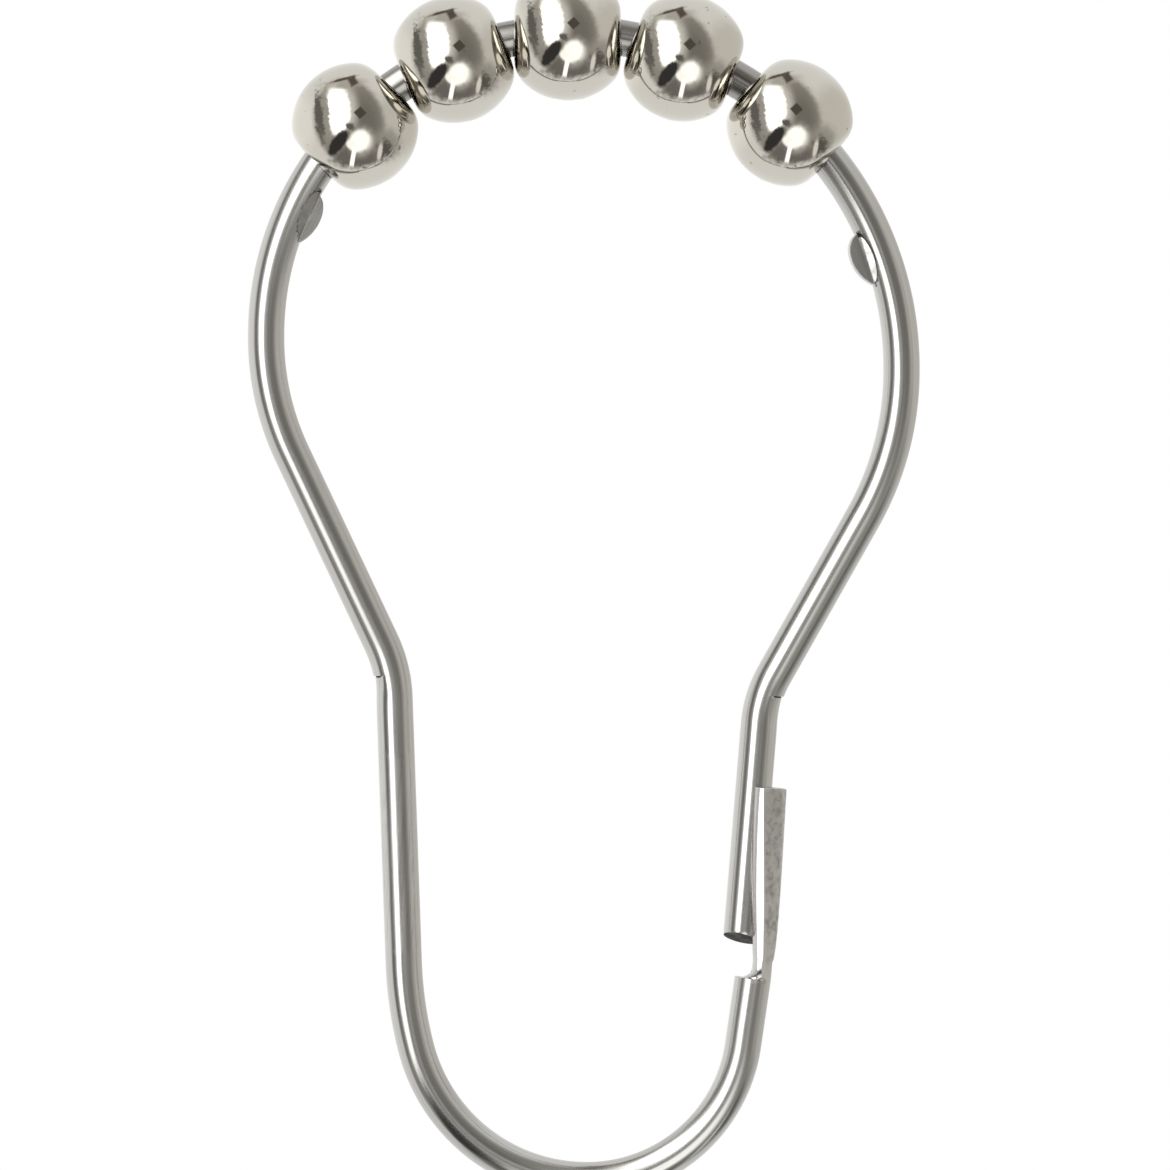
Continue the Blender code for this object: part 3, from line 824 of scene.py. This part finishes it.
# %% One ball, standing at the origin with its bore along Z
def turned_ball():
    """The outer skin of a ball, drawn in to the hole at both ends."""
    ball = start(
        bpy.ops.mesh.primitive_circle_add, vertices=OUTLINE_POINTS, radius=BALL_RADIUS,
        rotation=(pi / 2, 0.0, 0.0))
    bpy.ops.object.mode_set(mode="OBJECT")
    bpy.ops.object.transform_apply(rotation=True)
    bpy.ops.object.mode_set(mode="EDIT")
    edge_out = BALL_RADIUS * sin(RIM_LEAN)
    bpy.ops.mesh.select_all(action="SELECT")
    bpy.ops.mesh.bisect(
        plane_co=(edge_out, 0, 0), plane_no=(1, 0, 0), clear_inner=True, threshold=CLOSE)
    edge_up = BALL_RADIUS * cos(RIM_LEAN)
    for side in (1, -1):
        rim_edge = Vector((edge_out, 0.0, side * edge_up))
        rim_middle = (HOLE_RADIUS, 0.0, side * RIM_UP)
        select_verts(ball, near(rim_edge, OUTLINE_END))
        bpy.ops.mesh.spin(
            steps=RIM_STEPS, angle=side * RIM_LEAN, center=rim_middle, axis=(0.0, 1.0, 0.0))
    bpy.ops.mesh.select_all(action="SELECT")
    bpy.ops.mesh.spin(
        steps=BALL_TURN_STEPS, angle=2 * pi, center=(0.0, 0.0, 0.0), axis=(0.0, 0.0, 1.0))
    bpy.ops.mesh.select_all(action="SELECT")
    bpy.ops.mesh.remove_doubles(threshold=CLOSE)
    bpy.ops.mesh.normals_make_consistent(inside=False)
    bpy.ops.object.mode_set(mode="OBJECT")
    return ball


def outward_share(piece):
    """The share of faces that look away from the ball's middle."""
    faces = piece.data.polygons
    return sum(face.normal.dot(face.center) > 0 for face in faces) / len(faces)


pattern_ball = turned_ball()
if outward_share(pattern_ball) < 0.5:
    pattern_ball.data.flip_normals()
print("ball outline:", len(pattern_ball.data.vertices), "points, outward",
      round(outward_share(pattern_ball), 3))
apply_modifier(pattern_ball, "SOLIDIFY", thickness=BALL_WALL, offset=-1.0)
apply_modifier(pattern_ball, "BEVEL", width=HOLE_EDGE, segments=2, limit_method="ANGLE")
alone(pattern_ball)
bpy.ops.object.shade_smooth_by_angle(angle=SMOOTH_BALL)
print("one ball:", len(pattern_ball.data.polygons), "faces,",
      [round(side / MM, 2) for side in pattern_ball.dimensions], "mm")

# %% [markdown]
# ## Threading the balls
# Each ball is a copy with its own mesh. Its place and its bore's direction come from the
# joint it turns on, and each one is rolled on a little further than the last, so that
# no two show the same marks.

# %% Five balls on their joints
ROLLED_ON = radians(67)
balls = []
for number, joint in enumerate(frame["joints"], start=1):
    ball = pattern_ball.copy()
    ball.data = pattern_ball.data.copy()
    ball.name = "bright_ball_%d" % number
    bpy.context.scene.collection.objects.link(ball)
    bore = Vector(joint["axis"]).to_track_quat("Z", "Y").to_matrix().to_4x4()
    rolled = Matrix.Rotation(ROLLED_ON * number, 4, "Z")
    ball.data.transform(Matrix.Translation(Vector(joint["pos_m"])) @ bore @ rolled)
    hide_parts("roller_ball_%d" % number)
    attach(ball, joint["child"])
    balls.append(ball)
    print(ball.name, "on", joint["child"])
bpy.data.objects.remove(pattern_ball, do_unlink=True)

# %% [markdown]
# ## Helpers for materials
# A material here is a small network of nodes around one shader. These helpers add a node
# with its settings, and tie outputs to inputs by their names.

# %% Node helpers
def add_node(tree, kind, inputs=(), **settings):
    """A node with its settings, and its named inputs set or linked."""
    node = tree.nodes.new("ShaderNode" + kind)
    for key, value in settings.items():
        setattr(node, key, value)
    for key, value in dict(inputs).items():
        if isinstance(value, bpy.types.NodeSocket):
            tree.links.new(value, node.inputs[key])
        else:
            node.inputs[key].default_value = value
    return node


def calculate(tree, operation, *values):
    """One Math node on two or three numbers or sockets."""
    return add_node(tree, "Math", dict(enumerate(values)), operation=operation).outputs[0]


def fade(tree, value, start_at, end_at, low=0.0, high=1.0):
    """A smooth step from low to high as value goes from start_at to end_at."""
    inputs = {
        "Value": value, "From Min": start_at, "From Max": end_at,
        "To Min": low, "To Max": high}
    return add_node(tree, "MapRange", inputs, interpolation_type="SMOOTHSTEP").outputs[0]


# The colour inputs of a Mix node bear the same names as its others, so they go by number.
MIX_COLOURS = (6, 7)


def blend_colours(tree, share, first, second):
    """Mix two colours, each an RGB triple or a socket."""
    inputs = {0: share}
    for slot, colour in zip(MIX_COLOURS, (first, second)):
        is_socket = isinstance(colour, bpy.types.NodeSocket)
        inputs[slot] = colour if is_socket else (*colour, 1.0)
    return add_node(tree, "Mix", inputs, data_type="RGBA").outputs[2]


def blend_values(tree, share, first, second):
    """Mix two numbers or sockets."""
    return add_node(tree, "Mix", {0: share, 2: first, 3: second}).outputs[0]


def length_of(tree, vector):
    """The length of a vector's socket."""
    return add_node(tree, "VectorMath", {0: vector}, operation="LENGTH").outputs["Value"]


def noise(tree, place, scale, detail=2.0, roughness=0.5, stretch=(1.0, 1.0, 1.0)):
    """Noise at a place, squeezed along its axes by stretch."""
    squeezed = add_node(tree, "Mapping", {"Vector": place, "Scale": stretch}).outputs[0]
    inputs = {
        "Vector": squeezed, "Scale": scale, "Detail": detail, "Roughness": roughness}
    return add_node(tree, "TexNoise", inputs).outputs[0]


def new_metal(name):
    """A metal material, and its tree and shader."""
    material = bpy.data.materials.new(name)
    material.use_nodes = True
    tree = material.node_tree
    shader = tree.nodes["Principled BSDF"]
    shader.inputs["Metallic"].default_value = 1.0
    return material, tree, shader


# %% [markdown]
# ## Drawn steel
# The wire came through a drawing die, which leaves long fine lines, and it is a slightly
# warm grey. Long noise along the straightened wire gives the lines in colour, roughness
# and bump. Where the press worked it, the steel is duller and finely mottled. Under the
# balls its colour holds painted shade, and painted shade lies where the faces say so.

# %% The wire's finish
STEEL = (0.515, 0.51, 0.49)
STEEL_DARK = (0.43, 0.425, 0.405)
PRESSED_STEEL = (0.48, 0.47, 0.45)
PRESSED_DARK = (0.31, 0.30, 0.28)
# Painted shade: the wire under and between the balls, which the balls shade, is coloured
# darker.
BALL_SHADE_STEEL = (0.33, 0.32, 0.30)
BALL_SHADE_TURN = radians(46)
# Painted shade, dark and mottled: in the recess walls, in the tool marks' grooves and on the
# sheared end. The end is partly dark as rough cut steel, partly painted shade.
SHADE_TONE = (0.07, 0.066, 0.058)
SHADE_TONE_DARK = (0.008, 0.008, 0.007)
BALL_SHADE_BLUR = 0.5 * MM
LINES_PER_METRE = 7000.0
BROAD_LINES_PER_METRE = LINES_PER_METRE / 6
LINE_STRETCH = (0.008, 1.0, 1.0)
MOTTLES_PER_METRE = 2000.0
LINE_HEIGHT = 0.004 * MM
LINE_STRENGTH = 0.5
MOTTLE_HEIGHT = 0.012 * MM
MOTTLE_STRENGTH = 0.8


# %% The stretch under the balls, where shade is painted
def length_at(place):
    """How far along the wire its line passes nearest to a place."""
    return min(line_points, key=lambda point: (point[0] - place).length)[1]


top_length = length_at(Vector((0.0, 0.0, TOP)))
ball_shade_reach = BALL_SHADE_TURN * (LEFT_HALF_WIDTH + RIGHT_HALF_WIDTH) / 2
print("worn over %.1f mm of the wire" % (2 * ball_shade_reach / MM))


# %% Between which values of the noise each finish goes from its first tone to its last
LINE_FADE = (0.45, 0.75)
MOTTLE_FADE = (0.40, 0.70)
SHADE_FADE = (0.40, 0.56)
ROUGH_FADE = (0.3, 0.7)
SMOOTH_ROUGHNESS = (0.17, 0.26)
PRESSED_ROUGHNESS = (0.30, 0.46)
SHADED_ROUGHNESS = 0.6


def drawn_steel():
    """The wire's material: drawn and pressed steel, with painted shade laid over it."""
    material, tree, shader = new_metal("drawn_spring_steel")
    straight = add_node(tree, "Attribute", attribute_name="straight_wire").outputs["Vector"]
    worked = add_node(tree, "Attribute", attribute_name="pressed").outputs["Fac"]
    shade_share = add_node(tree, "Attribute", attribute_name="painted_shade").outputs["Fac"]
    lines = noise(tree, straight, LINES_PER_METRE, 3.0, 0.6, LINE_STRETCH)
    broad = noise(tree, straight, BROAD_LINES_PER_METRE, 2.0, 0.5, LINE_STRETCH)
    mottle = noise(tree, straight, MOTTLES_PER_METRE, 4.0, 0.65)
    is_line = fade(tree, lines, *LINE_FADE)
    smooth_colour = blend_colours(tree, is_line, STEEL, STEEL_DARK)
    is_mottle = fade(tree, mottle, *MOTTLE_FADE)
    mottled_colour = blend_colours(tree, is_mottle, PRESSED_STEEL, PRESSED_DARK)
    colour = blend_colours(tree, worked, smooth_colour, mottled_colour)
    along_wire = add_node(tree, "SeparateXYZ", {0: straight}).outputs[0]
    from_top = calculate(tree, "SUBTRACT", along_wire, top_length)
    from_top = calculate(tree, "ABSOLUTE", from_top)
    # Painted shade under the balls: the colour darkens over the stretch round the top.
    is_ball_shaded = fade(tree, from_top, ball_shade_reach + BALL_SHADE_BLUR, ball_shade_reach)
    colour = blend_colours(tree, is_ball_shaded, colour, BALL_SHADE_STEEL)
    # Painted shade where the faces say so; the higher roughness there is the cut and pressed
    # steel's own.
    is_dark = fade(tree, mottle, *SHADE_FADE)
    shade_colour = blend_colours(tree, is_dark, SHADE_TONE, SHADE_TONE_DARK)
    colour = blend_colours(tree, shade_share, colour, shade_colour)
    tree.links.new(colour, shader.inputs["Base Color"])
    smooth_rough = fade(tree, broad, *ROUGH_FADE, *SMOOTH_ROUGHNESS)
    mottled_rough = fade(tree, mottle, *ROUGH_FADE, *PRESSED_ROUGHNESS)
    rough = blend_values(tree, worked, smooth_rough, mottled_rough)
    rough = blend_values(tree, shade_share, rough, SHADED_ROUGHNESS)
    tree.links.new(rough, shader.inputs["Roughness"])
    grooves = add_node(tree, "Bump", {
        "Height": lines, "Strength": LINE_STRENGTH, "Distance": LINE_HEIGHT})
    share = calculate(tree, "MULTIPLY", worked, MOTTLE_STRENGTH)
    dents = add_node(tree, "Bump", {
        "Height": mottle, "Strength": share, "Distance": MOTTLE_HEIGHT,
        "Normal": grooves.outputs[0]})
    tree.links.new(dents.outputs[0], shader.inputs["Normal"])
    return material


wire.data.materials.clear()
wire.data.materials.append(drawn_steel())

# %% [markdown]
# ## Bright nickel
# The balls are nickel plated and polished like mirrors, a little warm in tone. Real ones
# have a faint waviness from pressing and a few dull specks, which show that the
# reflection is a surface and not a picture.

# %% The balls' finish
NICKEL = (0.59, 0.565, 0.505)
SPECK = (0.30, 0.28, 0.25)
SPECKS_PER_METRE = 1500.0
SPECK_FADE = (0.70, 0.76)
SPECK_ROUGHNESS = 0.3
WAVES_PER_METRE = 260.0
WAVE_HEIGHT = 0.006 * MM
WAVE_STRENGTH = 0.35
HAZE_PER_METRE = WAVES_PER_METRE * 2
HAZE_FADE = (0.35, 0.75)
MIRROR_ROUGHNESS = (0.035, 0.075)


def bright_nickel():
    """The balls' material: a mirror with faint waves, haze and dull specks."""
    material, tree, shader = new_metal("bright_nickel_plate")
    place = add_node(tree, "TexCoord").outputs["Object"]
    specks = noise(tree, place, SPECKS_PER_METRE, 2.0, 0.6)
    is_speck = fade(tree, specks, *SPECK_FADE)
    colour = blend_colours(tree, is_speck, NICKEL, SPECK)
    tree.links.new(colour, shader.inputs["Base Color"])
    haze = noise(tree, place, HAZE_PER_METRE, 3.0, 0.6)
    rough = fade(tree, haze, *HAZE_FADE, *MIRROR_ROUGHNESS)
    speck_rough = calculate(tree, "MULTIPLY", is_speck, SPECK_ROUGHNESS)
    rough = calculate(tree, "ADD", rough, speck_rough)
    tree.links.new(rough, shader.inputs["Roughness"])
    waves = noise(tree, place, WAVES_PER_METRE, 1.0, 0.5)
    wavy = add_node(tree, "Bump", {
        "Height": waves, "Strength": WAVE_STRENGTH, "Distance": WAVE_HEIGHT})
    tree.links.new(wavy.outputs[0], shader.inputs["Normal"])
    return material


nickel = bright_nickel()
for ball in balls:
    ball.data.materials.clear()
    ball.data.materials.append(nickel)

# %% [markdown]
# ## The camera
# The hook is seen straight from the front. A long lens at half a metre keeps the loop
# free of perspective, as a product photograph is taken.

# %% Camera
VIEW_MIDDLE = Vector((1.10 * MM, 0.0, -30.47 * MM))
VIEW_SIDE = 73.6 * MM
CAMERA_DISTANCE = 500.0 * MM
SENSOR_WIDTH = 36.0

camera_data = bpy.data.cameras.new("front_camera")
camera_data.sensor_width = SENSOR_WIDTH
camera_data.lens = SENSOR_WIDTH * CAMERA_DISTANCE / VIEW_SIDE
camera = bpy.data.objects.new("front_camera", camera_data)
camera.location = VIEW_MIDDLE + FRONT * CAMERA_DISTANCE
camera.rotation_euler = (pi / 2, 0.0, 0.0)
bpy.context.scene.collection.objects.link(camera)
bpy.context.scene.camera = camera
print("lens: %.0f mm" % camera_data.lens)

# %% [markdown]
# ## The studio
# A mirror shows its room, so bright metal is lit by what stands round it. The world here
# is a plain white room, with a few soft lamps and dark cards in front of the hook. Each
# is a soft-edged patch in the world's shader, placed by where a mirror ball shows it:
# (0, 0) is the middle of the ball and a distance of 1 its edge. Camera rays see plain
# white, so the background stays clean.

# %% What stands round the hook, later ones over earlier ones
# Each has a middle, a half size, a turn in degrees, a shape, a tone, the softness of its
# edge and how ragged that edge is.
WHITE = (1.0, 1.0, 1.0)
ROOM_TONE = (0.41, 0.39, 0.36)
STUDIO = {
    "side wall": ((0.74, 0.10), (0.40, 0.50), 0, "ROUND", (0.80, 0.78, 0.745), 0.40, 0.15),
    "left wall": ((-0.86, 0.05), (0.24, 0.45), 0, "ROUND", (1.16, 1.15, 1.14), 0.45, 0.1),
    "room": ((-0.08, 0.03), (0.54, 0.70), 16, "ROUND", ROOM_TONE, 0.10, 0.05),
    "right shade": ((0.21, 0.07), (0.20, 0.40), 12, "ROUND", (0.25, 0.24, 0.22), 0.75, 0.2),
    "low wall": ((0.06, -0.49), (0.42, 0.17), 4, "ROUND", (0.22, 0.21, 0.20), 0.35, 0.5),
    "key glow": ((-0.22, 0.27), (0.25, 0.40), 8, "ROUND", (0.95, 0.94, 0.92), 0.40, 0.1),
    "key lamp": ((-0.255, 0.22), (0.175, 0.38), 4, "ROUND", (3.6, 3.6, 3.6), 0.28, 0.25),
    "left curtain": ((-0.455, 0.20), (0.07, 0.40), 6, "ROUND", (0.50, 0.49, 0.47), 0.45, 1.2),
    "left clutter": ((-0.545, 0.14), (0.065, 0.34), 6, "ROUND", (0.18, 0.175, 0.165), 0.4, 1.5),
    "top shade": ((-0.12, 0.64), (0.26, 0.07), 10, "ROUND", (0.62, 0.60, 0.57), 0.6, 0.2),
    "top edge": ((-0.18, 0.72), (0.20, 0.022), 16, "ROUND", (0.15, 0.13, 0.11), 0.5, 0.5),
    "top corner": ((-0.03, 0.69), (0.06, 0.075), 28, "BOX", (0.14, 0.12, 0.10), 0.4, 0.3),
    "camera": ((0.095, 0.185), (0.072, 0.072), 42, "BOX", (0.11, 0.10, 0.085), 0.16, 0.0),
    "stand": ((-0.055, -0.03), (0.085, 0.055), -35, "ROUND", (0.17, 0.165, 0.16), 0.4, 1.0),
    "fill glow": ((0.12, -0.27), (0.17, 0.20), -20, "ROUND", (0.80, 0.79, 0.77), 0.60, 0.2),
    "fill wing": ((0.19, -0.27), (0.10, 0.11), -20, "ROUND", (1.25, 1.24, 1.22), 0.55, 0.2),
    "fill lamp": ((0.085, -0.255), (0.145, 0.18), -32, "ROUND", (1.9, 1.9, 1.9), 0.26, 0.15),
    "fill lobe": ((-0.03, -0.325), (0.11, 0.07), -40, "ROUND", (1.7, 1.7, 1.7), 0.35, 0.2),
    "dark card": ((-0.25, -0.275), (0.10, 0.245), -38, "ROUND", (0.05, 0.05, 0.05), 0.22, 0.3),
    "fill slot": ((-0.02, -0.50), (0.034, 0.15), -12, "BOX", (2.0, 2.0, 2.0), 0.25, 0.05),
    "low room": ((0.52, -0.30), (0.20, 0.24), -10, "ROUND", (0.46, 0.45, 0.42), 0.5, 0.3),
    "low clutter": ((0.48, -0.38), (0.11, 0.14), -20, "ROUND", (0.15, 0.14, 0.13), 0.5, 1.1),
    "low glint": ((0.41, -0.41), (0.035, 0.14), -10, "ROUND", (1.05, 1.03, 1.0), 0.4, 0.5),
}


# %% Turn a direction into its place on a mirror ball
SMALLEST_DIVISOR = 0.05


def ball_place(tree):
    """Where a mirror ball before the camera shows the direction that a ray looks in."""
    way = add_node(tree, "TexCoord").outputs["Generated"]
    parts = add_node(tree, "SeparateXYZ", {0: way}).outputs
    half = calculate(tree, "DIVIDE", calculate(tree, "SUBTRACT", 1.0, parts[1]), 2.0)
    divisor = calculate(tree, "MULTIPLY", calculate(tree, "SQRT", half), 2.0)
    divisor = calculate(tree, "MAXIMUM", divisor, SMALLEST_DIVISOR)
    across = calculate(tree, "DIVIDE", parts[0], divisor)
    up = calculate(tree, "DIVIDE", parts[2], divisor)
    return add_node(tree, "CombineXYZ", {0: across, 1: up}).outputs[0]


# %% One patch on the mirror ball
CLUTTER_SCALE = 13.0
CLUTTER_GAIN = 2.0


def patch_share(tree, place, middle, half_size, turn, shape, soft, ragged):
    """How much of a patch a place has, from 0 outside to 1 well inside."""
    local = add_node(tree, "Mapping", {
        "Vector": place, "Location": (*middle, 0.0), "Rotation": (0.0, 0.0, radians(turn)),
        "Scale": (*half_size, 1.0)}, vector_type="TEXTURE").outputs[0]
    if shape == "ROUND":
        reach = length_of(tree, local)
    else:
        sides = add_node(tree, "SeparateXYZ", {0: local}).outputs
        across, up = (calculate(tree, "ABSOLUTE", side) for side in sides[:2])
        reach = calculate(tree, "MAXIMUM", across, up)
    if ragged:
        clutter = noise(tree, place, CLUTTER_SCALE, 4.0, 0.6)
        uneven = calculate(tree, "SUBTRACT", clutter, 0.5)
        reach = calculate(tree, "MULTIPLY_ADD", uneven, ragged * CLUTTER_GAIN, reach)
    return fade(tree, reach, 1.0 + soft, 1.0 - soft)


# %% Build the studio in the world's shader
def build_studio():
    """Lay all patches over white in a new world, and hide them from the camera."""
    world = bpy.data.worlds.new("white_studio")
    bpy.context.scene.world = world
    world.use_nodes = True
    tree = world.node_tree
    place = ball_place(tree)
    light = WHITE
    for middle, half_size, turn, shape, tone, soft, ragged in STUDIO.values():
        share = patch_share(tree, place, middle, half_size, turn, shape, soft, ragged)
        light = blend_colours(tree, share, light, tone)
    is_camera = add_node(tree, "LightPath").outputs["Is Camera Ray"]
    seen = blend_colours(tree, is_camera, light, WHITE)
    tree.links.new(seen, tree.nodes["Background"].inputs["Color"])
    print(len(STUDIO), "things stand round the hook")


build_studio()

# %% [markdown]
# ## The floor and its lamp
# The hook hangs a little way over a pale floor, which catches its soft shadow and fades
# into the white round it. It lies too low to be seen from the front. The lamp over it
# throws that shadow, and neither shows in the mirrors.

# %% Floor
FLOOR_HEIGHT = -120.0 * MM
FLOOR_RADIUS = 340.0 * MM
FLOOR_TONE = (0.86, 0.86, 0.855)
FLOOR_ROUGHNESS = 0.8
FLOOR_FADE = (FLOOR_RADIUS * 0.35, FLOOR_RADIUS * 0.95)

floor = start(
    bpy.ops.mesh.primitive_circle_add, vertices=96, radius=FLOOR_RADIUS, fill_type="NGON",
    location=(0.0, 0.0, FLOOR_HEIGHT))
bpy.ops.object.mode_set(mode="OBJECT")
floor.name = "pale_floor"
floor.visible_glossy = False


def pale_floor():
    """A pale matt material that glows plain white towards the floor's rim."""
    material = bpy.data.materials.new("pale_floor")
    material.use_nodes = True
    tree = material.node_tree
    shader = tree.nodes["Principled BSDF"]
    shader.inputs["Base Color"].default_value = (*FLOOR_TONE, 1.0)
    shader.inputs["Roughness"].default_value = FLOOR_ROUGHNESS
    place = add_node(tree, "TexCoord").outputs["Object"]
    share = fade(tree, length_of(tree, place), *FLOOR_FADE)
    glow = add_node(tree, "Emission", {"Color": (*WHITE, 1.0), "Strength": 1.0}).outputs[0]
    both = add_node(tree, "MixShader", {0: share, 1: shader.outputs[0], 2: glow}).outputs[0]
    tree.links.new(both, tree.nodes["Material Output"].inputs["Surface"])
    return material


floor.data.materials.append(pale_floor())
floor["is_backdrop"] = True

# %% The lamp over it
LAMP_PLACE = (-80.0 * MM, -60.0 * MM, 450.0 * MM)
LAMP_SIDE = 250.0 * MM
LAMP_POWER = 1.5

lamp_data = bpy.data.lights.new("top_softbox", "AREA")
lamp_data.shape = "SQUARE"
lamp_data.size = LAMP_SIDE
lamp_data.energy = LAMP_POWER
lamp = bpy.data.objects.new("top_softbox", lamp_data)
lamp.location = LAMP_PLACE
lamp.rotation_euler = (VIEW_MIDDLE - lamp.location).to_track_quat("-Z", "Y").to_euler()
lamp.visible_glossy = False
bpy.context.scene.collection.objects.link(lamp)
bpy.context.scene.view_settings.view_transform = "Standard"

# %% [markdown]
# ## Last measures
# The box of the dressed hook is printed beside the box of its solids.

# %% Print both boxes, and finish
shown_box = [list(corner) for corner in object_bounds()]
for name, low, high in (("solids", *solid_box), ("shown", *shown_box)):
    print(name, [round((b - a) / MM, 3) for a, b in zip(low, high)], "mm")
